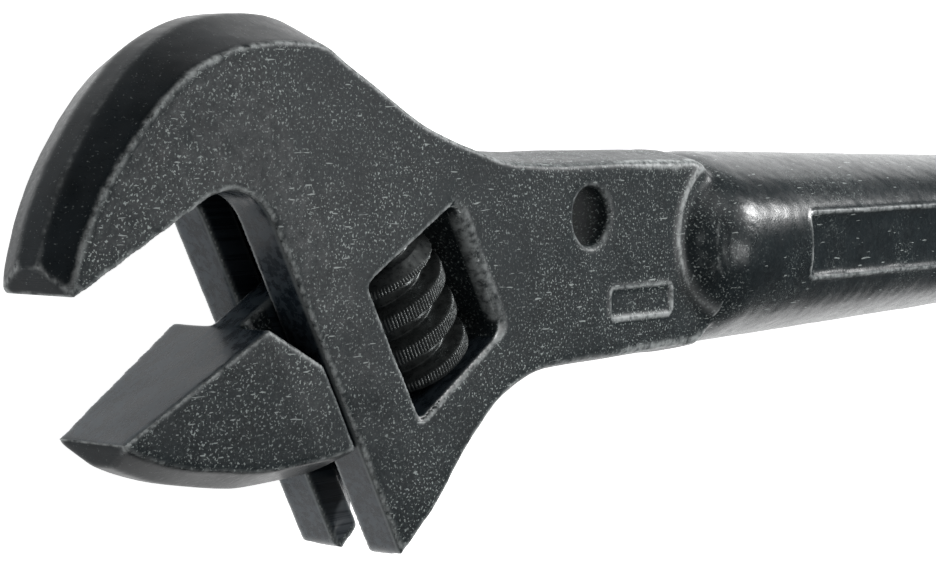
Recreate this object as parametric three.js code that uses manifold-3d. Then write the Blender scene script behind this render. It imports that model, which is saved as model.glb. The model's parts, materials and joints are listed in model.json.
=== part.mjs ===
// Adjustable construction wrench, 406 mm long, jaws opening to 41 mm.
//
// Two frames are used, both in millimetres with +Z out of the broad face:
// - the wrench frame: X along the handle's axis, from the jaws to the handle's end, and Y
//   towards the back of the fixed jaw. The handle's axis is the line y = 0, z = 0.
// - the jaw frame: its X, "in", runs along the contact faces from the jaw tips into the
//   head, and its -Y, "down", runs along the seat from the fixed jaw to the movable one.
//   Its origin is the corner where the fixed contact face meets the seat.

import * as THREE from 'three';
import * as BufferGeometryUtils from 'three/addons/utils/BufferGeometryUtils.js';
import Module from 'manifold-3d';

const wasm = await Module();
wasm.setup();

// Driving dimensions.
const overallLength = 406;
const headAngle = THREE.MathUtils.degToRad(29);
const cornerHeight = 15;
const headHalf = 10;
const bandHalf = 2;
const openingAtRest = 20.4;

// Fixed jaw and seat.
const jawReach = 32.3;
const tipDown = -4.4;
const cornerRadius = 8.5;
const fixedTipHalf = 6.4;
const fixedTaperStart = 7;
const headBottom = 64;

// Slot and bore for the movable jaw's slide.
const slotHalf = 3;
const slotTop = 1.5;
const slideIn = 10.8;
const slideRadius = 6;
const boreClearance = 0.2;
const boreTop = 3.8;

// Worm window and the worm in it.
const windowTop = 25;
const windowCorners = [[33.2, windowTop], [11.5, windowTop], [12, 47.7], [33.6, 46.8]];
const windowRound = 1.5;
const wormIn = 23.3;
const wormRadius = 9.5;
const wormRoot = 6.6;
const wormDown = [25.5, 46.4];
const wormLead = 5.45;
const wormPhase = 25.5;
const wormChamfers = [2.6, 0.9];
const ridgeCrest = 2.1;
const ridgeFoot = 3.5;
const rackClearance = 0.25;

// Worm pin and spring.
const pinRadius = 2;
const pinDown = [16.5, 56.6];
const screwRadius = 2.7;
const screwTop = 48.5;
const fitGap = 0.3;
const springRadius = 3.3;
const springWire = 0.45;
const springTurns = 4;
const springPocket = { radius: 4.2, depth: 5 };

// Neck and handle.
const neckHalf = 16.6;
const handleStart = 114;
const handleRadius = 16.1;
const handleNose = 18.5;
const handleKnee = 205;
const kneeRadius = 14.5;
const endRadius = 8.2;
const endRound = 6;
const tetherHole = { x: 74.8, y: 6.5, radius: 4.5 };
const panel = { from: 132, to: 250, halfWidth: 5, level: 14.2, endLevel: 12.2 };

// Movable jaw, measured down from its contact face.
const movableHalf = 9.05;
const movableTipHalf = 6;
const movableReach = 34.1;
const heel = { in: -6.9, down: 10 };
const seatGap = 0.3;
const webHalf = 2.7;
const webBottom = 23.5;
const slideTop = -3;
const slideBottom = 34;

const facets = 40;
const far = 120;

// ---- small tools ----------------------------------------------------------------------

function solid(geometry) {
  geometry.deleteAttribute('normal');
  geometry.deleteAttribute('uv');
  const welded = BufferGeometryUtils.mergeVertices(geometry, 1e-4);
  const vertProperties = new Float32Array(welded.attributes.position.array);
  const triVerts = new Uint32Array(welded.index.array);
  return new wasm.Manifold(new wasm.Mesh({ numProp: 3, vertProperties, triVerts }));
}

function geometryOf(manifold) {
  const { vertProperties, triVerts } = manifold.getMesh();
  const geometry = new THREE.BufferGeometry();
  geometry.setAttribute('position', new THREE.BufferAttribute(vertProperties, 3));
  geometry.setIndex(new THREE.BufferAttribute(triVerts, 1));
  geometry.computeVertexNormals();
  return geometry;
}

function cutAll(base, cutters) {
  return cutters.reduce((piece, cutter) => piece.subtract(cutter), base);
}

// A point of the jaw frame in the wrench frame.
function fromJaw(inward, down) {
  const point = new THREE.Vector2(inward, -down);
  point.rotateAround(new THREE.Vector2(), headAngle);
  return point.add(new THREE.Vector2(0, cornerHeight));
}

function placeInHead(geometry) {
  return geometry.rotateZ(headAngle).translate(0, cornerHeight, 0);
}

// A block or a round bar given by its limits in the jaw frame.
function block([in0, in1], [down0, down1], [z0, z1]) {
  const geometry = new THREE.BoxGeometry(in1 - in0, down1 - down0, z1 - z0);
  return geometry.translate((in0 + in1) / 2, -(down0 + down1) / 2, (z0 + z1) / 2);
}

function bar(inward, radius, [down0, down1], sides = facets) {
  const geometry = new THREE.CylinderGeometry(radius, radius, down1 - down0, sides);
  return geometry.translate(inward, -(down0 + down1) / 2, 0);
}

function prism(shape, z0, z1) {
  const options = { depth: z1 - z0, bevelEnabled: false, curveSegments: facets / 4 };
  return new THREE.ExtrudeGeometry(shape, options).translate(0, 0, z0);
}

function polygon(points) {
  return new THREE.Shape(points.map(([x, y]) => new THREE.Vector2(x, y)));
}

// A forged plate: a flat band round its edge at mid thickness, and a drafted flank from the
// band in to each flat face. Each rim point is (x, y, how far the faces are set in there).
function forgedPlate(rim, faceHalf) {
  const outline = rim.map(({ x, y }) => new THREE.Vector2(x, y));
  const edgeNormals = outline.map((point, i) => {
    const along = outline[(i + 1) % outline.length].clone().sub(point).normalize();
    return new THREE.Vector2(-along.y, along.x);
  });
  const faceLine = rim.map((point, i) => {
    const before = edgeNormals.at(i - 1);
    const after = edgeNormals[i];
    const reach = point.z / (1 + before.dot(after));
    return before.clone().add(after).multiplyScalar(reach).add(outline[i]);
  });
  const rings = [
    [faceLine, -faceHalf],
    [outline, -bandHalf],
    [outline, bandHalf],
    [faceLine, faceHalf],
  ];
  const positions = rings.flatMap(([line, z]) => line.flatMap(({ x, y }) => [x, y, z]));
  const count = rim.length;
  const lid = THREE.ShapeUtils.triangulateShape(faceLine, []);
  const index = [];
  for (let ring = 0; ring < rings.length - 1; ring++) {
    for (let i = 0; i < count; i++) {
      const a = ring * count + i;
      const b = ring * count + (i + 1) % count;
      index.push(a, b, b + count, a, b + count, a + count);
    }
  }
  const top = (rings.length - 1) * count;
  for (const [a, b, c] of lid) {
    index.push(a, c, b, top + a, top + b, top + c);
  }
  const geometry = new THREE.BufferGeometry();
  geometry.setAttribute('position', new THREE.Float32BufferAttribute(positions, 3));
  geometry.setIndex(index);
  return geometry;
}

// Blocks that thin a jaw towards its tip on both broad faces, in the jaw frame.
function taperCutters(startIn, startHalf, tipIn, tipHalf) {
  const slope = (startHalf - tipHalf) / (startIn - tipIn);
  const overshoot = 20;
  const side = polygon([
    [startIn, startHalf],
    [startIn, startHalf + overshoot],
    [tipIn - overshoot, startHalf + overshoot],
    [tipIn - overshoot, tipHalf - overshoot * slope],
  ]);
  const wedge = prism(side, -far, far).rotateX(Math.PI / 2);
  return [wedge.clone(), wedge.rotateX(Math.PI)];
}

// ---- worm -----------------------------------------------------------------------------

// One helical ridge round the worm's axis, as a bar of trapezium section with flat ends.
function helicalRidge(firstTurn, lastTurn, grow) {
  const foot = wormRoot - 1;
  const profile = [
    [foot, -grow],
    [wormRadius + grow, (ridgeFoot - ridgeCrest) / 2 - grow],
    [wormRadius + grow, (ridgeFoot + ridgeCrest) / 2 + grow],
    [foot, ridgeFoot + grow],
  ];
  const stepsPerTurn = 36;
  const steps = Math.ceil((lastTurn - firstTurn) * stepsPerTurn);
  const positions = [];
  const index = [];
  for (let step = 0; step <= steps; step++) {
    const turn = firstTurn + step / stepsPerTurn;
    const angle = turn * 2 * Math.PI;
    for (const [radius, offset] of profile) {
      const down = wormPhase + turn * wormLead + offset;
      positions.push(radius * Math.cos(angle), -down, radius * Math.sin(angle));
    }
  }
  for (let step = 0; step < steps; step++) {
    for (let side = 0; side < 4; side++) {
      const a = step * 4 + side;
      const b = step * 4 + (side + 1) % 4;
      index.push(a, b + 4, b, a, a + 4, b + 4);
    }
  }
  const last = steps * 4;
  index.push(0, 1, 2, 0, 2, 3, last, last + 2, last + 1, last, last + 3, last + 2);
  const geometry = new THREE.BufferGeometry();
  geometry.setAttribute('position', new THREE.Float32BufferAttribute(positions, 3));
  geometry.setIndex(index);
  return geometry;
}

// The worm's thread on its core between two levels, grown evenly by a clearance.
function threadedBar([top, bottom], grow) {
  const firstTurn = Math.floor((top - wormPhase) / wormLead) - 1;
  const lastTurn = (bottom - wormPhase) / wormLead + 1;
  const ridge = solid(helicalRidge(firstTurn, lastTurn, grow));
  const core = solid(bar(0, wormRoot + grow, [top - wormLead, bottom + wormLead]));
  const trim = solid(bar(0, wormRadius + 1, [top, bottom]));
  return ridge.add(core).intersect(trim);
}

// The bar that the worm is cut from, with a chamfer on each end.
function wormBlank() {
  const [top, bottom] = wormDown;
  const [topChamfer, bottomChamfer] = wormChamfers;
  const profile = [
    [0, -bottom],
    [wormRadius - bottomChamfer, -bottom],
    [wormRadius, -bottom + bottomChamfer],
    [wormRadius, -top - topChamfer],
    [wormRadius - topChamfer, -top],
    [0, -top],
  ].map(([radius, y]) => new THREE.Vector2(radius, y));
  return solid(new THREE.LatheGeometry(profile, 72));
}

function makeWorm() {
  const hole = solid(bar(0, pinRadius + fitGap, [0, far]));
  const { radius, depth } = springPocket;
  const pocket = solid(bar(0, radius, [0, wormDown[0] + depth]));
  const thread = threadedBar([0, far], 0).intersect(wormBlank());
  return geometryOf(cutAll(thread, [hole, pocket])).translate(wormIn, 0, 0);
}

function makePin() {
  const [top, bottom] = pinDown;
  const shaft = solid(bar(0, pinRadius, [top, screwTop + 1], 24));
  const screw = solid(bar(0, screwRadius, [screwTop, bottom], 24));
  const slot = solid(block([-screwRadius - 1, screwRadius + 1], [bottom - 1.2, bottom + 1], [-0.4, 0.4]));
  return geometryOf(shaft.add(screw).subtract(slot)).translate(wormIn, 0, 0);
}

class CoilCurve extends THREE.Curve {
  constructor(radius, turns, top, bottom) {
    super();
    Object.assign(this, { radius, turns, top, bottom });
  }

  getPoint(t, target = new THREE.Vector3()) {
    const angle = t * this.turns * 2 * Math.PI;
    const down = THREE.MathUtils.lerp(this.top, this.bottom, t);
    return target.set(this.radius * Math.cos(angle), -down, this.radius * Math.sin(angle));
  }
}

function makeSpring() {
  const top = windowTop + springWire + fitGap;
  const bottom = wormDown[0] + springPocket.depth - springWire - fitGap;
  const path = new CoilCurve(springRadius, springTurns, top, bottom);
  const wire = new THREE.Shape().absarc(0, 0, springWire, 0, 2 * Math.PI);
  const options = { steps: 18 * springTurns, curveSegments: 4, extrudePath: path };
  const coil = new THREE.ExtrudeGeometry(wire, options);
  return geometryOf(solid(coil)).translate(wormIn, 0, 0);
}

// ---- movable jaw ----------------------------------------------------------------------

function movableJawBlank() {
  const inset = 3.2;
  const underside = [
    [10, 27], [0.8, 27.2], [-5.6, 25.1], [-11, 22.4], [-17.7, 18.7], [-23.8, 14], [-29.4, 9.2],
    [-34.6, 3], [-39, -4],
  ];
  const beyondTheCuts = [[-39, -14], [14, -14]];
  const place = ([inward, down]) => new THREE.Vector3(inward, -down, inset);
  const edge = new THREE.CatmullRomCurve3(underside.map(place), false, 'centripetal');
  const rim = [...edge.getPoints(40), ...beyondTheCuts.map(place)];
  return forgedPlate(rim.reverse(), movableHalf);
}

function makeMovableJaw() {
  const beyond = 60;
  const contactCut = block([-beyond, beyond], [-beyond, 0], [-far, far]);
  const rearCut = block([-seatGap, beyond], [-beyond, beyond], [-far, far]);
  const tipCut = block([-beyond, -movableReach], [-beyond, beyond], [-far, far]);
  const heelCut = prism(polygon([
    [heel.in, 0],
    [heel.in, beyond],
    [0, beyond],
    [0, -heel.down],
    [-seatGap, -heel.down],
  ]), -far, far);
  const tapers = taperCutters(heel.in, movableHalf, -movableReach, movableTipHalf);
  const cutters = [contactCut, rearCut, tipCut, heelCut, ...tapers].map(solid);
  const jaw = cutAll(solid(movableJawBlank()), cutters);
  const web = solid(block([heel.in, slideIn], [0.4, webBottom], [-webHalf, webHalf]));
  const slide = solid(bar(slideIn, slideRadius, [slideTop, slideBottom]));
  const reach = [slideTop - wormLead + openingAtRest, slideBottom + wormLead + openingAtRest];
  const thread = threadedBar(reach, rackClearance);
  const rackCutter = thread.translate([wormIn, openingAtRest, 0]);
  return geometryOf(jaw.add(web).add(slide.subtract(rackCutter)));
}

// ---- body -----------------------------------------------------------------------------

// The parting line of the forging, from the fixed jaw's tip over the back of the head, along
// the neck and back by the foot of the head. The last number of each point is how far the
// broad faces are set in from it.
function bodyRim() {
  const jawInset = 3.9;
  const neckInset = 1.7;
  const footInset = 2;
  const jawPart = [
    [-38, 5, jawInset], [-35, -0.5, jawInset], [-31, -5.6, jawInset], [-24.4, -11, jawInset],
    [-15.6, -15.6, jawInset], [-9, -17.9, jawInset], [-2.5, -19.1, jawInset],
    [5.9, -18.3, jawInset], [13, -15.7, jawInset], [18.6, -12.6, jawInset], [22.4, -9, 3.2],
    [25.2, -3.6, 2.6], [29.9, 3.7, 2.3], [34.3, 10.6, 2.1], [39.4, 16.3, 2],
  ];
  const neckPart = [
    [47.5, 18.2], [52.5, 17], [58, 16.5], [66, neckHalf - 0.3], [78, neckHalf - 0.2],
    [90, neckHalf - 0.2], [100, neckHalf - 0.3], [106, neckHalf - 0.6], [110.5, 12], [112.5, 0],
    [110.5, -12], [106, -neckHalf + 0.3], [98, -neckHalf], [86, -neckHalf - 0.3],
    [78, -neckHalf - 0.4], [70, -neckHalf - 0.6], [62.3, -neckHalf - 1.1], [57.2, -19.1],
  ];
  const footPart = [
    [28.1, 57.3, footInset], [23.1, 58.1, footInset], [18.4, 59.1, footInset],
    [13.3, 60.9, footInset], [7.6, 62.5, footInset], [0.9, headBottom, footInset],
    [-10, headBottom + 2, footInset], [-18, headBottom - 10, footInset], [-18, 36, footInset],
    [-28, 20, footInset], [-38, 14, footInset],
  ];
  const place = ([inward, down, inset]) => {
    const { x, y } = fromJaw(inward, down);
    return new THREE.Vector3(x, y, inset);
  };
  const neck = neckPart.map(([x, y]) => new THREE.Vector3(x, y, neckInset));
  const corners = [...jawPart.map(place), ...neck, ...footPart.map(place)];
  const rim = new THREE.CatmullRomCurve3(corners, true, 'centripetal').getPoints(170);
  return rim.slice(1).reverse();
}

function handleRadiusAt(x) {
  if (x < handleStart) {
    const along = (handleStart - x) / handleNose;
    return handleRadius * Math.sqrt(Math.max(0, 1 - along * along));
  }
  const slope = (handleRadius - kneeRadius) / (handleKnee - handleStart);
  const straight = handleRadius - slope * (x - handleStart);
  const beyond = Math.max(0, x - handleKnee);
  const span = handleEnd - endRound - handleKnee;
  const drop = kneeRadius - slope * span - endRadius;
  return straight - drop * (beyond / span) ** 2;
}

// The round handle: a domed start, a long taper and a rounded end.
function handleSolid() {
  const profile = [new THREE.Vector2(0, handleStart - handleNose)];
  const noseSteps = 9;
  for (let i = 1; i <= noseSteps; i++) {
    const angle = i / noseSteps * Math.PI / 2;
    const x = handleStart - handleNose * Math.cos(angle);
    profile.push(new THREE.Vector2(handleRadius * Math.sin(angle), x));
  }
  const lastTaper = handleEnd - endRound;
  const taperSteps = 12;
  for (let i = 1; i <= taperSteps; i++) {
    const x = THREE.MathUtils.lerp(handleStart, lastTaper, i / taperSteps);
    profile.push(new THREE.Vector2(handleRadiusAt(x), x));
  }
  const roundSteps = 5;
  for (let i = 1; i < roundSteps; i++) {
    const angle = i / roundSteps * Math.PI / 2;
    const x = lastTaper + endRound * Math.sin(angle);
    profile.push(new THREE.Vector2(endRadius * Math.cos(angle), x));
  }
  profile.push(new THREE.Vector2(0, handleEnd));
  const round = new THREE.LatheGeometry(profile, facets);
  return solid(round.rotateZ(-Math.PI / 2));
}

function openingCutter() {
  const shape = new THREE.Shape();
  shape.moveTo(0, -far);
  shape.lineTo(0, -cornerRadius);
  shape.absarc(-cornerRadius, -cornerRadius, cornerRadius, 0, Math.PI / 2);
  shape.lineTo(-far, 0);
  shape.lineTo(-far, -far);
  return prism(shape, -far, far);
}

// A polygon whose corners, given in the jaw frame, are rounded off by short curves.
function roundedShape(corners, reach) {
  const points = corners.map(([inward, down]) => new THREE.Vector2(inward, -down));
  const shape = new THREE.Shape();
  points.forEach((corner, i) => {
    const before = points.at(i - 1);
    const after = points[(i + 1) % points.length];
    const enter = corner.clone().add(before.clone().sub(corner).setLength(reach));
    const leave = corner.clone().add(after.clone().sub(corner).setLength(reach));
    const start = i === 0 ? 'moveTo' : 'lineTo';
    shape[start](enter.x, enter.y);
    shape.quadraticCurveTo(corner.x, corner.y, leave.x, leave.y);
  });
  shape.closePath();
  return shape;
}

function headCutters() {
  return [
    openingCutter(),
    block([-far, -jawReach], [-far, far], [-far, far]),
    block([-cornerRadius - 1, slideIn], [-slotTop, far], [-slotHalf, slotHalf]),
    bar(slideIn, slideRadius + boreClearance, [-boreTop, far]),
    prism(roundedShape(windowCorners, windowRound), -far, far),
    bar(wormIn, pinRadius + fitGap, [pinDown[0] - 1, screwTop]),
    bar(wormIn, screwRadius + fitGap, [screwTop - 0.6, far]),
    ...taperCutters(fixedTaperStart, headHalf, -jawReach, fixedTipHalf),
  ].map((geometry) => solid(placeInHead(geometry)));
}

// A long flat sunk into each side of the handle, as wide as the panel where it starts.
function panelCutters() {
  const { from, to, halfWidth, level, endLevel } = panel;
  const side = polygon([[from, level], [to, endLevel], [to, far], [from, far]]);
  const upper = prism(side, -halfWidth, halfWidth).rotateX(Math.PI / 2);
  return [upper.clone(), upper.rotateX(Math.PI)].map(solid);
}

function makeBody() {
  const plate = solid(forgedPlate(bodyRim(), headHalf));
  const { x, y, radius } = tetherHole;
  const hole = solid(new THREE.CylinderGeometry(radius, radius, far, facets)
    .rotateX(Math.PI / 2).translate(x, y, 0));
  const blank = plate.add(handleSolid());
  return geometryOf(cutAll(blank, [...headCutters(), ...panelCutters(), hole]));
}

// ---- assembly -------------------------------------------------------------------------

const handleEnd = fromJaw(-jawReach, tipDown).x + overallLength;

function finish(color, roughness, metalness = 0.8) {
  return new THREE.MeshStandardMaterial({ color, roughness, metalness });
}

function piece(name, geometry, material) {
  const mesh = new THREE.Mesh(geometry, material);
  mesh.name = name;
  return mesh;
}

const blackForged = 0x4a4f50;
const blackMachined = 0x3a3e40;
const darkSteel = 0x55595b;

const head = new THREE.Group();
head.rotation.z = headAngle;
head.position.y = cornerHeight;

const movableJaw = piece('movable_jaw', makeMovableJaw(), finish(blackForged, 0.5));
movableJaw.position.y = -openingAtRest;
head.add(movableJaw);
head.add(piece('worm', makeWorm(), finish(blackMachined, 0.4)));
head.add(piece('worm_pin', makePin(), finish(darkSteel, 0.35)));
head.add(piece('worm_spring', makeSpring(), finish(darkSteel, 0.3)));

const wrench = new THREE.Group();
wrench.add(piece('body', makeBody(), finish(blackForged, 0.5)));
wrench.add(head);

// The origin is the middle of the bottom of the wrench's box, lying on one broad side.
wrench.updateMatrixWorld(true);
const box = new THREE.Box3().setFromObject(wrench, true);
const middle = box.getCenter(new THREE.Vector3());
wrench.position.set(-middle.x, -middle.y, -box.min.z);

export default wrench;
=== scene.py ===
"""Looks of the adjustable construction wrench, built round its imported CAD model."""

import json
import math

import bmesh
import bpy
import numpy as np
from mathutils import Matrix, Vector


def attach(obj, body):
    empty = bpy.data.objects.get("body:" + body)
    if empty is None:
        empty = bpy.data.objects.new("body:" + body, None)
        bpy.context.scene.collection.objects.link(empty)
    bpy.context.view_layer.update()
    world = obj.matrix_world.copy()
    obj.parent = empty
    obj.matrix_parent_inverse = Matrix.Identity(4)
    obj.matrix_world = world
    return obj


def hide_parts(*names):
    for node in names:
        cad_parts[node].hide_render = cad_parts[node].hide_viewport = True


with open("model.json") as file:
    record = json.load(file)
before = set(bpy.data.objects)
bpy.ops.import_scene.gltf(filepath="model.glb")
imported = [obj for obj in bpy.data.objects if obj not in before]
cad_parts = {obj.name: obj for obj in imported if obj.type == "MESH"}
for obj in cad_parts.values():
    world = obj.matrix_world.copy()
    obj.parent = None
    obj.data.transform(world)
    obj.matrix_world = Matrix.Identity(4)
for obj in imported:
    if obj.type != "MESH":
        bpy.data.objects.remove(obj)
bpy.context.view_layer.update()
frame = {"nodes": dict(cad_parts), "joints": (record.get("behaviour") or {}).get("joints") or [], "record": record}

MM = 0.001
JOINTS = {joint["name"]: joint for joint in frame["joints"]}
MOUNTS = {mount["name"]: mount for mount in frame["record"]["mounts"]}

# ---- the wrench's own directions and places, from the frame ---------------------------

OUT = Vector((0, 0, 1))
DOWN = Vector(JOINTS["jaw_slide"]["axis"]).normalized()
INTO = DOWN.cross(OUT) * -1
JAW_BASIS = np.array([INTO, DOWN, OUT])
WORM_CENTRE = Vector(JOINTS["worm_turn"]["pos_m"])
MID_HEIGHT = WORM_CENTRE.z
FACE_POINT = Vector(MOUNTS["fixed_jaw_face"]["pos_m"])
# How far the worm's axis lies in from the seat, in millimetres.
WORM_IN = 23.3
# The corner where the fixed contact face meets the seat, at mid thickness.
CORNER = FACE_POINT + INTO * ((WORM_CENTRE - FACE_POINT).dot(INTO) - WORM_IN * MM)
# How far below that corner the handle's axis lies, in millimetres.
AXIS_BELOW = 15


def in_jaw(inward, down, out=0.0):
    """A place given in millimetres along the contact faces, down the seat and outwards."""
    return CORNER + (INTO * inward + DOWN * down + OUT * out) * MM


def jaw_coordinates(points):
    """The same three distances of an array of points, in millimetres."""
    return ((points - np.array(CORNER)) / MM) @ JAW_BASIS.T


def wrench_coordinates(points):
    """Places as millimetres along the handle from the jaws' corner, across it and up."""
    along = (points[:, 0] - CORNER.x) / MM
    across = (points[:, 1] - CORNER.y) / MM + AXIS_BELOW
    return along, across, (points[:, 2] - MID_HEIGHT) / MM


# How far down the seat the movable jaw's contact face is at rest, in millimetres.
JAW_LEVEL = jaw_coordinates(np.array([MOUNTS["movable_jaw_face"]["pos_m"]]))[0, 1]


# ---- helpers for meshes -----------------------------------------------------------------


def vectors(items, field):
    """One field of a mesh's vertices or polygons, as an array with a row for each."""
    flat = np.empty(len(items) * 3)
    items.foreach_get(field, flat)
    return flat.reshape(-1, 3)


def set_vertices(mesh, points):
    mesh.vertices.foreach_set("co", points.ravel())
    mesh.update()


def new_piece(name, mesh):
    piece = bpy.data.objects.new(name, mesh)
    bpy.context.scene.collection.objects.link(piece)
    return piece


def refined(node, name, voxel):
    """A fine, even mesh of a CAD node's shape, as a piece of its own."""
    mesh = frame["nodes"][node].data.copy()
    shape = bmesh.new()
    shape.from_mesh(mesh)
    bmesh.ops.remove_doubles(shape, verts=shape.verts, dist=1e-6)
    shape.to_mesh(mesh)
    shape.free()
    piece = new_piece(name, mesh)
    remesh = piece.modifiers.new("Even mesh", "REMESH")
    remesh.mode = "VOXEL"
    remesh.voxel_size = voxel
    remesh.use_smooth_shade = True
    evaluated = piece.evaluated_get(bpy.context.evaluated_depsgraph_get())
    fine = bpy.data.meshes.new_from_object(evaluated)
    piece.modifiers.clear()
    piece.data = fine
    fine.name = name
    fine.materials.clear()
    return piece


def relaxed(mesh, weights, rounds):
    """Vertex places, each moved many times towards the mean of its neighbours by its weight."""
    points = vectors(mesh.vertices, "co")
    ends = np.empty(len(mesh.edges) * 2, dtype=np.int64)
    mesh.edges.foreach_get("vertices", ends)
    first, second = ends.reshape(-1, 2).T
    count = len(points)
    near = np.concatenate([first, second])
    far = np.concatenate([second, first])
    degree = np.bincount(near, minlength=count)[:, None]
    for _ in range(rounds):
        total = np.stack([np.bincount(near, points[far, k], count) for k in range(3)], axis=1)
        points += (total / degree - points) * weights[:, None]
    return points


def relax(mesh, weights, rounds):
    set_vertices(mesh, relaxed(mesh, weights, rounds))


def smooth_step(value, low, high):
    share = np.clip((value - low) / (high - low), 0, 1)
    return share * share * (3 - 2 * share)


def plateau(value, low, full, still_full, high):
    """Rises from 0 to 1, stays there and falls back to 0."""
    return smooth_step(value, low, full) * (1 - smooth_step(value, still_full, high))


def within(value, low, high):
    return (value > low) & (value < high)


def bead(distance, width):
    """A rounded rib, 1 high, along the line where the distance is nought."""
    return np.exp(-((distance / width) ** 2))


def round_over(distance, radius):
    """How far an edge falls back at a distance from it when it is rounded off."""
    reach = np.clip(radius - distance, 0, radius)
    return radius - np.sqrt(radius**2 - reach**2)


def rounded_box_distance(x, y, half_x, half_y, radius):
    outside_x = np.abs(x) - half_x + radius
    outside_y = np.abs(y) - half_y + radius
    beyond = np.hypot(np.maximum(outside_x, 0), np.maximum(outside_y, 0))
    return beyond + np.minimum(np.maximum(outside_x, outside_y), 0) - radius


WAVES = 14
WAVE_SPREAD = (0.7, 1.5)


def rolling(points, scale, seed):
    """Slow random waves of about -1 to 1 over the points, of the given wavelength."""
    random = np.random.default_rng(seed)
    total = np.zeros(len(points))
    for _ in range(WAVES):
        direction = random.normal(size=3)
        stretch = scale * np.linalg.norm(direction) * random.uniform(*WAVE_SPREAD)
        direction *= 2 * math.pi / stretch
        total += np.sin(points @ direction + random.uniform(0, 2 * math.pi))
    return total / math.sqrt(WAVES)


# The weight that moves a place freely halfway to its neighbours' mean in each round.
RELAX_STEP = 0.5
# How far an edge stands out from its softened self where its lighter colour begins and where it
# is full, in millimetres. That colour is partly wear and partly a painted highlight.
EDGE_MARK_FROM, EDGE_MARK_FULL = 0.012, 0.045
EDGE_MARK_ROUNDS = 3


def mark_edges(mesh, painted_light=None, gain=1.0):
    """Stores how far each place stands out on an edge, for its lighter colour of wear and painted highlight, and
    the share of painted light.
    """
    points = vectors(mesh.vertices, "co")
    softer = relaxed(mesh, np.full(len(points), RELAX_STEP), EDGE_MARK_ROUNDS)
    normals = vectors(mesh.vertices, "normal")
    proud = np.einsum("ij,ij->i", points - softer, normals) / MM * gain
    wear_and_highlight = smooth_step(proud, EDGE_MARK_FROM, EDGE_MARK_FULL)
    if painted_light is None:
        painted_light = np.zeros(len(points))
    mesh.attributes.new("wear_and_highlight", "FLOAT", "POINT").data.foreach_set("value", wear_and_highlight)
    mesh.attributes.new("painted_light", "FLOAT", "POINT").data.foreach_set("value", painted_light)


# ---- forged body and movable jaw --------------------------------------------------------
# Lengths in this part are in millimetres. Pairs are a start and an end.

MACHINED_SHARE = 0.8
HEAD_HALF = 10
UPPER_SIDE = 8
ON_FACE = 0.5
SEAT_FROM = 6
CONTACT_TO = -7
RELIEF = 9.5
SLOT = {"half": 3.4, "in": (-9, 18), "down": (-5, 60)}
HOLE = {
    "along": 74.8,
    "across": 6.5,
    "radius": 4.8,
    "painted_light": 0.26,
    "painted_light_from": 9,
    "painted_light_over": 5,
}
FOOT = {"bottom": 64, "radius": 3.0}
CARTOUCHE = {
    "along": 88.2,
    "across": -7.2,
    "half": (8.6, 2.5),
    "radius": 1.4,
    "rim_width": 0.42,
    "rim_height": 0.22,
    "sunk": 0.16,
    "slope": (0.2, 0.9),
}
PANEL = {
    "along": 191,
    "half": (59.5, 5.6),
    "radius": 2,
    "rim_width": 0.5,
    "rim_height": 0.3,
    "handle_from": 125,
}
RINGS = {
    "along": 111,
    "across": 0.6,
    "spacing": 1.3,
    "height": 0.011,
    "fade": (1.0, 3.0, 6.0, 9.5),
    "handle_from": 104.5,
}
LIP = {
    "along": 111.0,
    "across": 2.4,
    "radius": 12.5,
    "width": 0.9,
    "height": 0.3,
    "painted_light": 0.12,
    "reach": (92, 108),
    "ends": (11, 15),
}
WINDOW = {
    "radius": 2.2,
    "band": 0.8,
    "wall": 33.2,
    "wall_lean": 0.0185,
    "wall_level": 25,
    "wall_reach": (24, 28, 45, 47.5),
    "sill": 47.7,
    "sill_lean": 0.0417,
    "sill_level": 12,
    "sill_reach": (11, 14, 33.5, 35),
    "chamfer": 0.5,
    "chamfer_lean": 0.008,
    "chamfer_painted_light": 1.6,
}
BODY = {
    "voxel": 0.42,
    "rounds": 5,
    "soft_from": (48, 60),
    "soft_rounds": 16,
    "slow_waves": (9, 0.03),
    "quick_waves": (3, 0.01),
    "neck_edge_reach": (80, 90, 104, 108),
    "neck_gain": 1.5,
}
JAW = {"voxel": 0.35, "rounds": 8, "waves": (8, 0.025), "rear": -0.9, "contact_to": -1}


def forging_weights(jaw, machined_share):
    """How freely each place may round off: forged skin fully, machined faces hardly."""
    inward, down, out = jaw.T
    on_seat = (np.abs(inward) < ON_FACE) & (down > SEAT_FROM)
    on_contact = (np.abs(down) < ON_FACE) & (inward < CONTACT_TO)
    in_corner = within(inward, -RELIEF, ON_FACE) & within(down, -ON_FACE, RELIEF)
    in_slot = (np.abs(out) < SLOT["half"]) & within(inward, *SLOT["in"])
    in_slot &= within(down, *SLOT["down"])
    machined = on_seat | on_contact | in_corner | in_slot
    return np.where(machined, machined_share, 1.0) * RELAX_STEP


def cartouche(along, across):
    """Height of the blank frame stamped on the neck's upper face."""
    x = along - CARTOUCHE["along"]
    y = across - CARTOUCHE["across"]
    distance = rounded_box_distance(x, y, *CARTOUCHE["half"], CARTOUCHE["radius"])
    rim = bead(distance, CARTOUCHE["rim_width"]) * CARTOUCHE["rim_height"]
    return rim - CARTOUCHE["sunk"] * smooth_step(-distance, *CARTOUCHE["slope"])


def panel_rim(along, across):
    """Height of the low bead round the blank panel on the handle."""
    x = along - PANEL["along"]
    distance = rounded_box_distance(x, across, *PANEL["half"], PANEL["radius"])
    return bead(distance, PANEL["rim_width"]) * PANEL["rim_height"]


def forging_rings(along, across, height):
    """Height of the fine rings that the die left round the handle's nose."""
    away = np.hypot(along - RINGS["along"], across - RINGS["across"])
    waves = np.sin(2 * math.pi * away / RINGS["spacing"]) * RINGS["height"]
    on_nose = (height > UPPER_SIDE) & (along > RINGS["handle_from"])
    return waves * plateau(away, *RINGS["fade"]) * on_nose


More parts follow.
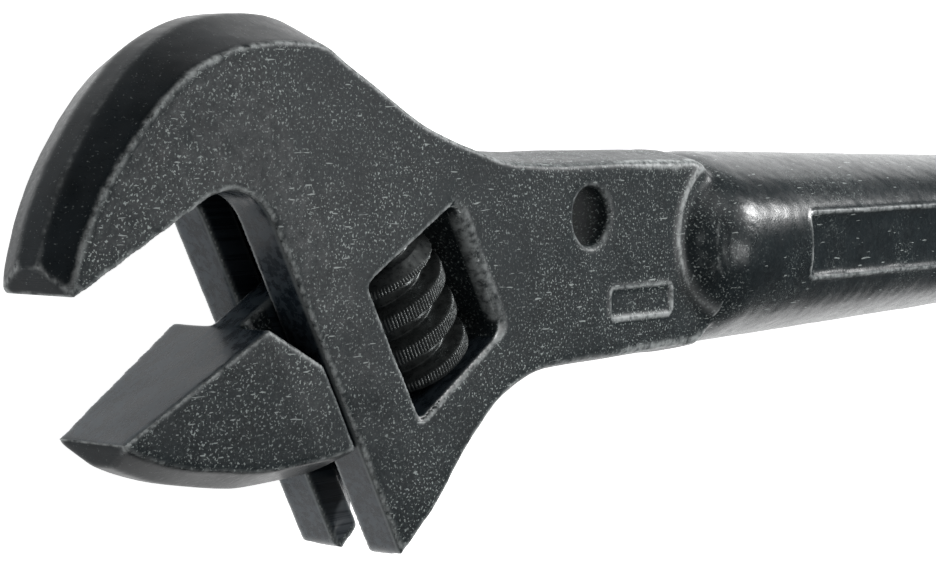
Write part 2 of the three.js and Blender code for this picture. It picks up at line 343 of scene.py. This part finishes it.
def neck_lip(along, across, height):
    """How close each place is to the arc where the flat neck ends, from 0 to 1."""
    away = np.hypot(along - LIP["along"], across - LIP["across"]) - LIP["radius"]
    near = bead(away, LIP["width"]) * (height > UPPER_SIDE) * within(along, *LIP["reach"])
    return near * (1 - smooth_step(np.abs(across), *LIP["ends"]))


def ease_window(points, normals):
    """Rounds the window's handle-side edges and cuts the chamfer along its lower edge.

    Gives back how much painted highlight lies on the chamfer, on the upper face.
    """
    inward, down, out = jaw_coordinates(points).T
    depth = HEAD_HALF - np.abs(out)
    flat = np.abs(normals[:, 2]) > 0.7
    surface = flat & (depth < 1)
    band = WINDOW["band"]

    wall = WINDOW["wall"] + (down - WINDOW["wall_level"]) * WINDOW["wall_lean"]
    along_wall = plateau(down, *WINDOW["wall_reach"])
    drop = round_over(inward - wall, WINDOW["radius"]) * along_wall
    drop *= surface & (inward > wall - band)
    push = round_over(depth, WINDOW["radius"]) * along_wall
    push *= ~flat & (np.abs(inward - wall) < band)

    along_sill = plateau(inward, *WINDOW["sill_reach"])
    sill = WINDOW["sill"] - (inward - WINDOW["sill_level"]) * WINDOW["sill_lean"]
    cut = WINDOW["chamfer"] - (inward - WINDOW["sill_level"]) * WINDOW["chamfer_lean"]
    slope = np.clip(cut - (down - sill), 0, cut) * along_sill
    slope *= surface & (down > sill - band)

    points[:, 2] -= np.sign(out) * (drop + slope) * MM
    points += push[:, None] * np.array(INTO) * MM
    # Painted highlight on the chamfer, on the upper face only.
    return np.clip(slope / cut * WINDOW["chamfer_painted_light"], 0, 1) * (out > 0)


def round_foot(points):
    """Rounds the corner where the seat meets the underside of the head."""
    inward, down, _ = jaw_coordinates(points).T
    radius = FOOT["radius"]
    from_seat = radius - inward
    from_bottom = down - (FOOT["bottom"] - radius)
    reach = np.hypot(from_seat, from_bottom)
    outside = (from_seat > 0) & (from_bottom > 0) & (reach > radius)
    shrink = np.where(outside, 1 - radius / np.maximum(reach, radius), 0) * MM
    points += (from_seat * shrink)[:, None] * np.array(INTO)
    points -= (from_bottom * shrink)[:, None] * np.array(DOWN)


def forged_waves(points, waves, seed):
    length, height = waves
    return rolling(points, length * MM, seed) * height


def make_body():
    piece = refined("body", "wrench_body", BODY["voxel"] * MM)
    mesh = piece.data
    points = vectors(mesh.vertices, "co")
    along = wrench_coordinates(points)[0]
    soft = smooth_step(along, *BODY["soft_from"]) * RELAX_STEP
    relax(mesh, forging_weights(jaw_coordinates(points), MACHINED_SHARE), BODY["rounds"])
    relax(mesh, soft, BODY["soft_rounds"])

    points = vectors(mesh.vertices, "co")
    normals = vectors(mesh.vertices, "normal")
    skin = forging_weights(jaw_coordinates(points), 0.0) / RELAX_STEP
    waves = forged_waves(points, BODY["slow_waves"], 3)
    waves += forged_waves(points, BODY["quick_waves"], 4)
    points += normals * (waves * skin * MM)[:, None]

    along, across, height = wrench_coordinates(points)
    neck = (normals[:, 2] > 0.8) & (height < HEAD_HALF + 0.5)
    points[:, 2] += np.where(neck, cartouche(along, across), 0) * MM
    handle = (np.abs(normals[:, 2]) > 0.5) & (along > PANEL["handle_from"])
    rim = panel_rim(along, across) * np.sign(normals[:, 2])
    points[:, 2] += np.where(handle, rim, 0) * MM
    along, across, height = wrench_coordinates(points)
    lip = neck_lip(along, across, height)
    rise = forging_rings(along, across, height) + lip * LIP["height"]
    points += normals * (rise * MM)[:, None]

    # Painted highlights along the neck lip's arc and on the window chamfer.
    painted_light = np.maximum(ease_window(points, normals), LIP["painted_light"] * lip)
    round_foot(points)
    along, across, height = wrench_coordinates(points)
    # Painted light on the hole's deep wall, standing in for light coming through from below.
    in_hole = np.hypot(along - HOLE["along"], across - HOLE["across"]) < HOLE["radius"]
    deep = smooth_step(HOLE["painted_light_from"] - np.abs(height), 0, HOLE["painted_light_over"])
    painted_light = np.maximum(painted_light, HOLE["painted_light"] * in_hole * deep)
    set_vertices(mesh, points)
    # Lighter edges, partly wear and partly painted highlight, made stronger along the neck.
    mark_edges(mesh, painted_light, 1 + BODY["neck_gain"] * plateau(along, *BODY["neck_edge_reach"]))
    return piece


def make_jaw():
    piece = refined("movable_jaw", "jaw_with_rack", JAW["voxel"] * MM)
    mesh = piece.data
    inward, down, _ = jaw_coordinates(vectors(mesh.vertices, "co")).T
    on_contact = (np.abs(down - JAW_LEVEL) < ON_FACE) & (inward < JAW["contact_to"])
    machined = on_contact | (inward > JAW["rear"])
    relax(mesh, np.where(machined, MACHINED_SHARE, 1.0) * RELAX_STEP, JAW["rounds"])
    points = vectors(mesh.vertices, "co")
    waves = forged_waves(points, JAW["waves"], 7)
    points += vectors(mesh.vertices, "normal") * (waves * MM)[:, None]
    set_vertices(mesh, points)
    mark_edges(mesh)
    return piece


# ---- knurled worm -----------------------------------------------------------------------
# Lengths are in millimetres, and levels are measured down the seat.

WORM = {
    "radius": 9.5,
    "root": 6.6,
    "lead": 5.45,
    "phase": 25.58,
    "crest": 2.0,
    "foot": 3.34,
    "soften": 0.08,
    "down": (25.5, 46.4),
    "chamfers": (2.0, 0.9),
    "shoulder": 27.6,
    "collar": 6.3,
    "bore": 2.3,
    "pocket": (4.2, 5.0),
    "ease": 0.3,
    "level_step": 0.14,
    "knurls": 116,
    "knurl_points": 7,
    "knurl_depth": 0.17,
    "knurl_shape": 0.8,
    "knurled_from": (0.5, 0.05),
}


def thread_radius(angle, down):
    """The worm's radius at an angle round it and a level down it, knurls included."""
    flank = (WORM["foot"] - WORM["crest"]) / 2
    rise = (down - WORM["phase"] - WORM["lead"] * angle / (2 * math.pi)) % WORM["lead"]
    up = np.clip(rise / flank, 0, 1)
    fall = np.clip((WORM["foot"] - rise) / flank, 0, 1)
    softened = (-WORM["soften"], 1 + WORM["soften"])
    lowest = smooth_step(0.0, *softened)
    share = (smooth_step(np.minimum(up, fall), *softened) - lowest) / (1 - 2 * lowest)
    radius = WORM["root"] + (WORM["radius"] - WORM["root"]) * np.clip(share, 0, 1)
    chamfer_top, chamfer_bottom = WORM["chamfers"]
    limit_top = WORM["radius"] - chamfer_top + (down - WORM["shoulder"])
    limit_top = np.where(down < WORM["shoulder"], WORM["collar"], limit_top)
    limit_bottom = WORM["radius"] - chamfer_bottom + (WORM["down"][1] - down)
    radius = np.minimum(radius, np.minimum(limit_top, limit_bottom))
    groove = np.abs(np.sin(angle * WORM["knurls"] / 2)) ** WORM["knurl_shape"]
    below, full = WORM["knurled_from"]
    on_crest = smooth_step(radius, WORM["radius"] - below, WORM["radius"] - full)
    return radius - WORM["knurl_depth"] * (1 - groove) * on_crest


def ring_mesh(name, rings):
    """A closed skin of a list of rings of equal length, the last joined to the first."""
    count = len(rings[0])
    vertices = [tuple(point) for ring in rings for point in ring]
    faces = []
    for i in range(len(rings)):
        j = (i + 1) % len(rings)
        for k in range(count):
            n = (k + 1) % count
            faces.append((i * count + k, j * count + k, j * count + n, i * count + n))
    mesh = bpy.data.meshes.new(name)
    mesh.from_pydata(vertices, [], faces)
    mesh.shade_smooth()
    shape = bmesh.new()
    shape.from_mesh(mesh)
    bmesh.ops.recalc_face_normals(shape, faces=shape.faces)
    shape.to_mesh(mesh)
    shape.free()
    return mesh


def make_worm():
    count = WORM["knurls"] * WORM["knurl_points"]
    angles = np.linspace(0, 2 * math.pi, count, endpoint=False)
    top, bottom = WORM["down"]
    pocket_radius, pocket_depth = WORM["pocket"]
    bore, ease = WORM["bore"], WORM["ease"]

    def ring(radius, down):
        inward = WORM_IN + radius * np.cos(angles)
        out = radius * np.sin(angles)
        steps = np.stack([inward, np.full_like(angles, down), out], axis=1)
        return steps @ (JAW_BASIS * MM) + np.array(CORNER)

    levels = [*np.arange(top, bottom, WORM["level_step"]), bottom]
    inside = (
        (bore + ease, bottom),
        (bore, bottom - ease),
        (bore, top + pocket_depth),
        (pocket_radius, top + pocket_depth),
        (pocket_radius, top + ease),
        (pocket_radius + ease, top),
    )
    rings = [ring(thread_radius(angles, level), level) for level in levels]
    rings += [ring(radius, level) for radius, level in inside]
    return new_piece("knurled_worm", ring_mesh("knurled_worm", rings))


# ---- pin and spring ---------------------------------------------------------------------


def make_round(node, name, voxel, weight, rounds):
    """A small turned or wound piece, with its edges eased."""
    piece = refined(node, name, voxel)
    relax(piece.data, np.full(len(piece.data.vertices), weight), rounds)
    return piece


def make_pin():
    return make_round("worm_pin", "slotted_pin", 0.13 * MM, 0.4, 3)


def make_spring():
    return make_round("worm_spring", "worm_coil_spring", 0.09 * MM, 0.5, 4)


# ---- materials --------------------------------------------------------------------------
# A pair of colours is the darkest and the lightest tone of a skin.

FORGED_SKIN = ((0.007, 0.0115, 0.014), (0.015, 0.023, 0.027))
FORGED_GRAIN = (0.03, 0.04, 0.043)
FORGED_HAZE = (0.075, 0.093, 0.092)
PAINTED_GLINT_COLOUR = (0.42, 0.47, 0.46)
HAIRLINE = (0.5, 0.55, 0.54)
# Lighter edge colours, partly wear and partly painted highlight.
WORN_AND_HIGHLIT_FORGING = (0.45, 0.48, 0.48)
# Near white, for painted light and highlights on the neck lip, window chamfer and deep hole wall.
PAINTED_LIGHT_WHITE = (0.95, 0.96, 0.96)
FORGED_IOR = 1.29
RIM_SKIN = ((0.004, 0.0065, 0.008), (0.009, 0.013, 0.016))
RIM_PAINTED_GLINT = (0.2, 0.22, 0.22)
WORN_AND_HIGHLIT_RIM = (0.4, 0.42, 0.42)
RIM_IOR = 1.2
MACHINED_SKIN = ((0.008, 0.013, 0.018), (0.014, 0.02, 0.027))
GRINDING_LINE = (0.045, 0.06, 0.073)
WORN_AND_HIGHLIT_MACHINED = (0.25, 0.27, 0.27)
MACHINED_IOR = 1.4
WORM_SKIN = ((0.05, 0.056, 0.057), (0.14, 0.15, 0.148))
WORM_METALLIC = 0.6
STEEL_SKIN = ((0.09, 0.095, 0.1), (0.2, 0.205, 0.21))
STEEL_METALLIC = 0.9
FLOOR_SKIN = ((0.93, 0.93, 0.93), (0.95, 0.95, 0.95))
FLOOR_ROUGHNESS = 0.9
FLOOR_GLOW = 0.95
# The glow round the wrench falls off over the distance that the scale sets.
GLOW_SHIFT = (0.08, 0, 0)
GLOW_SCALE = (1.6, 1.6, 1.6)
# Where the head's blasted skin gives way to the handle's smoother one, in millimetres.
HANDLE_BLEND = (100, 116)


class Nodes:
    """Short names for making and joining the nodes of one material."""

    def __init__(self, name):
        self.material = bpy.data.materials.new(name)
        self.material.use_nodes = True
        self.tree = self.material.node_tree
        self.shader = self.tree.nodes["Principled BSDF"]

    def add(self, kind, **values):
        node = self.tree.nodes.new(kind)
        for key, value in values.items():
            setattr(node, key, value)
        return node

    def link(self, output, target):
        self.tree.links.new(output, target)

    def feed(self, socket, value):
        """Links an output to a socket, or sets a number or a colour on it."""
        if hasattr(value, "is_output"):
            self.link(value, socket)
        elif isinstance(value, (int, float)):
            socket.default_value = value
        else:
            socket.default_value = (*value, 1)

    def plug(self, socket, value):
        self.link(value, self.shader.inputs[socket])

    def set(self, socket, value):
        self.shader.inputs[socket].default_value = value

    def noise(self, size, detail=3.0, stretch=None, offset=(0, 0, 0)):
        """Noise of the given grain size in metres, drawn out along one direction if asked."""
        mapping = self.add("ShaderNodeMapping")
        mapping.inputs["Location"].default_value = offset
        coordinates = self.add("ShaderNodeTexCoord").outputs["Object"]
        if stretch:
            turn, factors = stretch
            mapping.inputs["Rotation"].default_value = (0, 0, turn)
            mapping.inputs["Scale"].default_value = factors
        self.link(coordinates, mapping.inputs["Vector"])
        texture = self.add("ShaderNodeTexNoise")
        texture.inputs["Scale"].default_value = 1 / size
        texture.inputs["Detail"].default_value = detail
        texture.inputs["Roughness"].default_value = 0.6
        self.link(mapping.outputs["Vector"], texture.inputs["Vector"])
        return texture.outputs["Fac"]

    def ramp(self, value, *stops):
        """Colours or greys at places along a value from 0 to 1."""
        node = self.add("ShaderNodeValToRGB")
        while len(node.color_ramp.elements) < len(stops):
            node.color_ramp.elements.new(0.5)
        for element, (position, colour) in zip(node.color_ramp.elements, stops):
            element.position = position
            grey = isinstance(colour, (int, float))
            element.color = (colour, colour, colour, 1) if grey else (*colour, 1)
        self.link(value, node.inputs["Fac"])
        return node.outputs["Color"]

    def skin(self, size, detail, tones):
        """A skin's colour, drifting between its darkest and lightest tone."""
        dark, light = tones
        return self.ramp(self.noise(size, detail), (0.3, dark), (0.7, light))

    def mix(self, share, a, b):
        node = self.add("ShaderNodeMix", data_type="RGBA", blend_type="MIX")
        self.feed(node.inputs[0], share)
        self.feed(node.inputs[6], a)
        self.feed(node.inputs[7], b)
        return node.outputs[2]

    def math(self, operation, a, b):
        node = self.add("ShaderNodeMath", operation=operation)
        self.feed(node.inputs[0], a)
        self.feed(node.inputs[1], b)
        return node.outputs[0]

    def attribute(self, name):
        return self.add("ShaderNodeAttribute", attribute_name=name).outputs["Fac"]

    def handle_share(self, most):
        """Nought on the head, rising to the given value on the smoother handle."""
        node = self.add("ShaderNodeMapRange", interpolation_type="SMOOTHSTEP")
        split = self.add("ShaderNodeSeparateXYZ")
        self.link(self.add("ShaderNodeTexCoord").outputs["Object"], split.inputs[0])
        self.link(split.outputs["X"], node.inputs["Value"])
        start, end = HANDLE_BLEND
        node.inputs["From Min"].default_value = CORNER.x + start * MM
        node.inputs["From Max"].default_value = CORNER.x + end * MM
        node.inputs["To Max"].default_value = most
        return node.outputs["Result"]

    def bump(self, height, distance, strength, before=None):
        node = self.add("ShaderNodeBump")
        node.inputs["Distance"].default_value = distance
        node.inputs["Strength"].default_value = strength
        self.link(height, node.inputs["Height"])
        if before is not None:
            self.link(before, node.inputs["Normal"])
        return node.outputs["Normal"]


def forged_black():
    """Black oxide over a blasted forging: dark satin skin, fine painted glints, and edges lighter from wear and
    painted highlight.
    """
    n = Nodes("forged_black_oxide")
    colour = n.skin(5 * MM, 4, FORGED_SKIN)
    grain = n.ramp(n.noise(0.7 * MM, 3), (0.45, 0.0), (0.7, 0.6))
    colour = n.mix(grain, colour, FORGED_GRAIN)
    patch = n.ramp(n.noise(11 * MM, 3, offset=(9, 4, 1)), (0.35, 0.3), (0.6, 1.0))
    patch = n.math("SUBTRACT", patch, n.handle_share(0.55))
    haze = n.ramp(n.noise(0.5 * MM, 1, offset=(7, 1, 4)), (0.5, 0.0), (0.7, 0.55))
    colour = n.mix(n.math("MULTIPLY", haze, patch), colour, FORGED_HAZE)
    # Painted glints: small bright specks, fewer on the handle.
    painted_glint = n.ramp(n.noise(0.38 * MM, 1.2, offset=(3, 1, 2)), (0.6, 0.0), (0.68, 1.0))
    colour = n.mix(n.math("MULTIPLY", painted_glint, patch), colour, PAINTED_GLINT_COLOUR)
    hair = n.noise(0.45 * MM, 1.0, stretch=(0.9, (0.13, 1.0, 1.0)), offset=(1, 5, 8))
    colour = n.mix(n.ramp(hair, (0.725, 0.0), (0.75, 0.8)), colour, HAIRLINE)
    # Lighter edges: partly wear, partly painted highlight.
    edge_patches = n.ramp(n.noise(1.1 * MM, 4, offset=(2, 2, 9)), (0.36, 0.15), (0.6, 1.0))
    worn_and_lit = n.math("MULTIPLY", n.attribute("wear_and_highlight"), edge_patches)
    colour = n.mix(worn_and_lit, colour, WORN_AND_HIGHLIT_FORGING)
    # Painted light: near white on the neck lip, the window chamfer and the hole's deep wall.
    n.plug("Base Color", n.mix(n.attribute("painted_light"), colour, PAINTED_LIGHT_WHITE))
    rough = n.ramp(n.noise(1.6 * MM, 3, offset=(5, 2, 7)), (0.3, 0.36), (0.7, 0.46))
    n.plug("Roughness", n.math("SUBTRACT", rough, n.handle_share(0.15)))
    n.set("IOR", FORGED_IOR)
    coarse = n.bump(n.noise(2.2 * MM, 3, offset=(1, 8, 3)), 0.1 * MM, 0.25)
    n.plug("Normal", n.bump(n.noise(0.4 * MM, 2), 0.05 * MM, 0.4, coarse))
    return n.material


def rim_black():
    """The smoother black of the jaws' ground outer facets, with faint belt lines."""
    n = Nodes("rim_black_oxide")
    colour = n.skin(6 * MM, 3, RIM_SKIN)
    # Painted glints: small bright specks.
    painted_glint = n.ramp(n.noise(0.34 * MM, 1.5, offset=(3, 1, 2)), (0.66, 0.0), (0.76, 1.0))
    colour = n.mix(n.math("MULTIPLY", painted_glint, 0.5), colour, RIM_PAINTED_GLINT)
    # Lighter edges: partly wear, partly painted highlight.
    edge_patches = n.ramp(n.noise(1.1 * MM, 4, offset=(2, 2, 9)), (0.36, 0.1), (0.6, 0.9))
    worn_and_lit = n.math("MULTIPLY", n.attribute("wear_and_highlight"), edge_patches)
    n.plug("Base Color", n.mix(worn_and_lit, colour, WORN_AND_HIGHLIT_RIM))
    lines = n.noise(0.5 * MM, 2, stretch=(0.0, (1.0, 1.0, 0.05)))
    n.plug("Roughness", n.ramp(lines, (0.3, 0.26), (0.7, 0.36)))
    n.set("IOR", RIM_IOR)
    n.plug("Normal", n.bump(lines, 0.02 * MM, 0.3))
    return n.material


def machined_black():
    """Black oxide over ground steel: smoother, with faint grinding lines along the faces."""
    n = Nodes("machined_black_oxide")
    turn = -math.atan2(INTO.y, INTO.x)
    lines = n.noise(1.1 * MM, 3, stretch=(turn, (0.02, 1.0, 1.0)))
    colour = n.skin(7 * MM, 2, MACHINED_SKIN)
    colour = n.mix(n.ramp(lines, (0.4, 0.0), (0.62, 0.8)), colour, GRINDING_LINE)
    # Lighter edges: partly wear, partly painted highlight.
    worn_and_lit = n.math("MULTIPLY", n.attribute("wear_and_highlight"), 0.6)
    n.plug("Base Color", n.mix(worn_and_lit, colour, WORN_AND_HIGHLIT_MACHINED))
    n.plug("Roughness", n.ramp(lines, (0.35, 0.2), (0.65, 0.36)))
    n.set("IOR", MACHINED_IOR)
    n.plug("Normal", n.bump(lines, 0.02 * MM, 0.4))
    return n.material


def worm_black():
    """The worm's thinner black, with the steel's shine coming through it."""
    n = Nodes("worm_black_oxide")
    n.plug("Base Color", n.skin(1.2 * MM, 4, WORM_SKIN))
    n.plug("Roughness", n.ramp(n.noise(0.6 * MM, 3), (0.3, 0.24), (0.7, 0.38)))
    n.set("Metallic", WORM_METALLIC)
    n.plug("Normal", n.bump(n.noise(0.35 * MM, 2), 0.02 * MM, 0.6))
    return n.material


def dark_steel():
    """Dull bare steel, for the pin and the spring."""
    n = Nodes("dark_bare_steel")
    n.plug("Base Color", n.skin(0.8 * MM, 4, STEEL_SKIN))
    n.plug("Roughness", n.ramp(n.noise(0.5 * MM, 3), (0.3, 0.28), (0.7, 0.42)))
    n.set("Metallic", STEEL_METALLIC)
    n.plug("Normal", n.bump(n.noise(0.25 * MM, 2), 0.01 * MM, 0.5))
    return n.material


def pale_floor():
    """A white floor, lit from within round the wrench and fading to grey further off."""
    n = Nodes("pale_floor")
    n.plug("Base Color", n.skin(50 * MM, 2, FLOOR_SKIN))
    n.set("Roughness", FLOOR_ROUGHNESS)
    reach = n.add("ShaderNodeTexGradient", gradient_type="SPHERICAL")
    spread = n.add("ShaderNodeMapping")
    spread.inputs["Location"].default_value = GLOW_SHIFT
    spread.inputs["Scale"].default_value = GLOW_SCALE
    n.link(n.add("ShaderNodeTexCoord").outputs["Object"], spread.inputs["Vector"])
    n.link(spread.outputs["Vector"], reach.inputs["Vector"])
    n.plug("Emission Color", n.ramp(reach.outputs["Fac"], (0.3, 0.3), (0.65, 1.0)))
    n.set("Emission Strength", FLOOR_GLOW)
    return n.material


def paint(piece, materials, choice=None):
    for material in materials:
        piece.data.materials.append(material)
    if choice is not None:
        piece.data.polygons.foreach_set("material_index", choice.astype(np.int32))
        piece.data.update()


# ---- pieces on their bodies -------------------------------------------------------------
# Lengths in this part are in millimetres, and the others are parts of a face's normal.

FORGED, MACHINED, RIM = 0, 1, 2
FACE_BAND = 0.7
SQUARE = 0.8
CONTACT_FACE_TO = 1
SEAT_FACE_FROM = 4
CORNER_FACES = {"in": (-9.6, 0.5), "down": (-0.5, 9.6), "turn": 0.5}
BORE_FACES = {"in": (0.3, 17.6), "down": (-5, 62), "half": 6.4}
WINDOW_FACES = {"in": (10, 32), "down": (23, 49), "turn": 0.4}
RIM_TURN = 0.84
RIM_TO = 38


def jaw_faces(mesh):
    """Each face's centre in the jaw's coordinates, and its normal in the same directions."""
    centres = jaw_coordinates(vectors(mesh.polygons, "center"))
    return centres.T, (vectors(mesh.polygons, "normal") @ JAW_BASIS.T).T


def contact_faces(inward, down, normal_down, level):
    near = np.abs(down - level) < FACE_BAND
    return near & (np.abs(normal_down) > SQUARE) & (inward < CONTACT_FACE_TO)


def in_region(inward, down, region):
    return within(inward, *region["in"]) & within(down, *region["down"])


def dress_body():
    piece = make_body()
    mesh = piece.data
    (inward, down, out), (normal_in, normal_down, normal_out) = jaw_faces(mesh)
    turn = np.abs(normal_out)
    contact = contact_faces(inward, down, normal_down, 0)
    seat = within(inward, -FACE_BAND, FACE_BAND) & (normal_in < -SQUARE)
    seat &= down > SEAT_FACE_FROM
    corner = in_region(inward, down, CORNER_FACES) & (turn < CORNER_FACES["turn"])
    bore = in_region(inward, down, BORE_FACES) & (np.abs(out) < BORE_FACES["half"])
    window = in_region(inward, down, WINDOW_FACES) & (turn < WINDOW_FACES["turn"])
    along = wrench_coordinates(vectors(mesh.polygons, "center"))[0]
    rim = (turn < RIM_TURN) & (along < RIM_TO)
    machined = contact | seat | corner | bore | window
    choice = np.where(machined, MACHINED, np.where(rim, RIM, FORGED))
    paint(piece, [forged_black(), machined_black(), rim_black()], choice)
    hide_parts("body")
    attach(piece, "frame")


def dress_jaw():
    piece = make_jaw()
    (inward, down, _), (_, normal_down, normal_out) = jaw_faces(piece.data)
    machined = contact_faces(inward, down, normal_down, JAW_LEVEL) | (inward > JAW["rear"])
    rim = np.abs(normal_out) < RIM_TURN
    choice = np.where(machined, MACHINED, np.where(rim, RIM, FORGED))
    paint(piece, [forged_black(), machined_black(), rim_black()], choice)
    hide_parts("movable_jaw")
    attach(piece, "jaw")


def dress(piece, node, body, material):
    paint(piece, [material])
    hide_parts(node)
    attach(piece, body)


steel = dark_steel()
dress_body()
dress_jaw()
dress(make_worm(), "worm", "screw", worm_black())
dress(make_pin(), "worm_pin", "frame", steel)
dress(make_spring(), "worm_spring", "frame", steel)


# ---- floor, light and camera ------------------------------------------------------------

FLOOR_HALF = 12.0
WORLD_STRENGTH = 0.15
# Name, place, the place it faces, width and height in metres, and power in watts.
LIGHTS = (
    ("far_window", (0.72, 0.37, 0.51), (-0.05, 0, 0), 0.16, 0.12, 5),
    ("overhead", (0.14, -0.02, 0.4), (-0.05, 0, 0), 0.03, 0.03, 0.48),
    ("side_strip", (0.18, 0.7, 0.66), (-0.1, 0, 0), 0.3, 0.3, 1.8),
)
# The viewer's place in millimetres, and the camera's axes, in the jaws' own directions.
CAMERA_PLACE = (-203.45, -119.80, 229.38)
CAMERA_BACK = (-0.65609, -0.43712, 0.61520)
CAMERA_UP = (0.52725, -0.84873, -0.04077)
CAMERA_SENSOR = 36
CAMERA_LENS = 96.15
CAMERA_CLIP = 0.01


def make_floor():
    size = FLOOR_HALF
    mesh = bpy.data.meshes.new("floor")
    corners = [(-size, -size, 0), (size, -size, 0), (size, size, 0), (-size, size, 0)]
    mesh.from_pydata(corners, [], [(0, 1, 2, 3)])
    floor = new_piece("floor", mesh)
    paint(floor, [pale_floor()])


def area_light(name, place, aim, width, height, power):
    data = bpy.data.lights.new(name, "AREA")
    data.shape = "RECTANGLE"
    data.size = width
    data.size_y = height
    data.energy = power
    lamp = new_piece(name, data)
    lamp.location = place
    lamp.rotation_mode = "QUATERNION"
    lamp.rotation_quaternion = (Vector(aim) - Vector(place)).to_track_quat("-Z", "Y")


def make_world():
    world = bpy.data.worlds.new("studio")
    world.use_nodes = True
    background = world.node_tree.nodes["Background"]
    background.inputs["Color"].default_value = (1, 1, 1, 1)
    background.inputs["Strength"].default_value = WORLD_STRENGTH
    bpy.context.scene.world = world
    bpy.context.scene.view_settings.view_transform = "Standard"


def jaw_direction(inward, down, out):
    return INTO * inward + DOWN * down + OUT * out


def make_camera():
    """At the place that the photograph was taken from."""
    back = jaw_direction(*CAMERA_BACK)
    up = jaw_direction(*CAMERA_UP)
    data = bpy.data.cameras.new("camera")
    data.sensor_width = CAMERA_SENSOR
    data.lens = CAMERA_LENS
    data.clip_start = CAMERA_CLIP
    camera = new_piece("camera", data)
    turn = Matrix([up.cross(back), up, back]).transposed()
    camera.matrix_world = Matrix.Translation(in_jaw(*CAMERA_PLACE)) @ turn.to_4x4()
    bpy.context.scene.camera = camera


make_floor()
make_world()
for light in LIGHTS:
    area_light(*light)
make_camera()
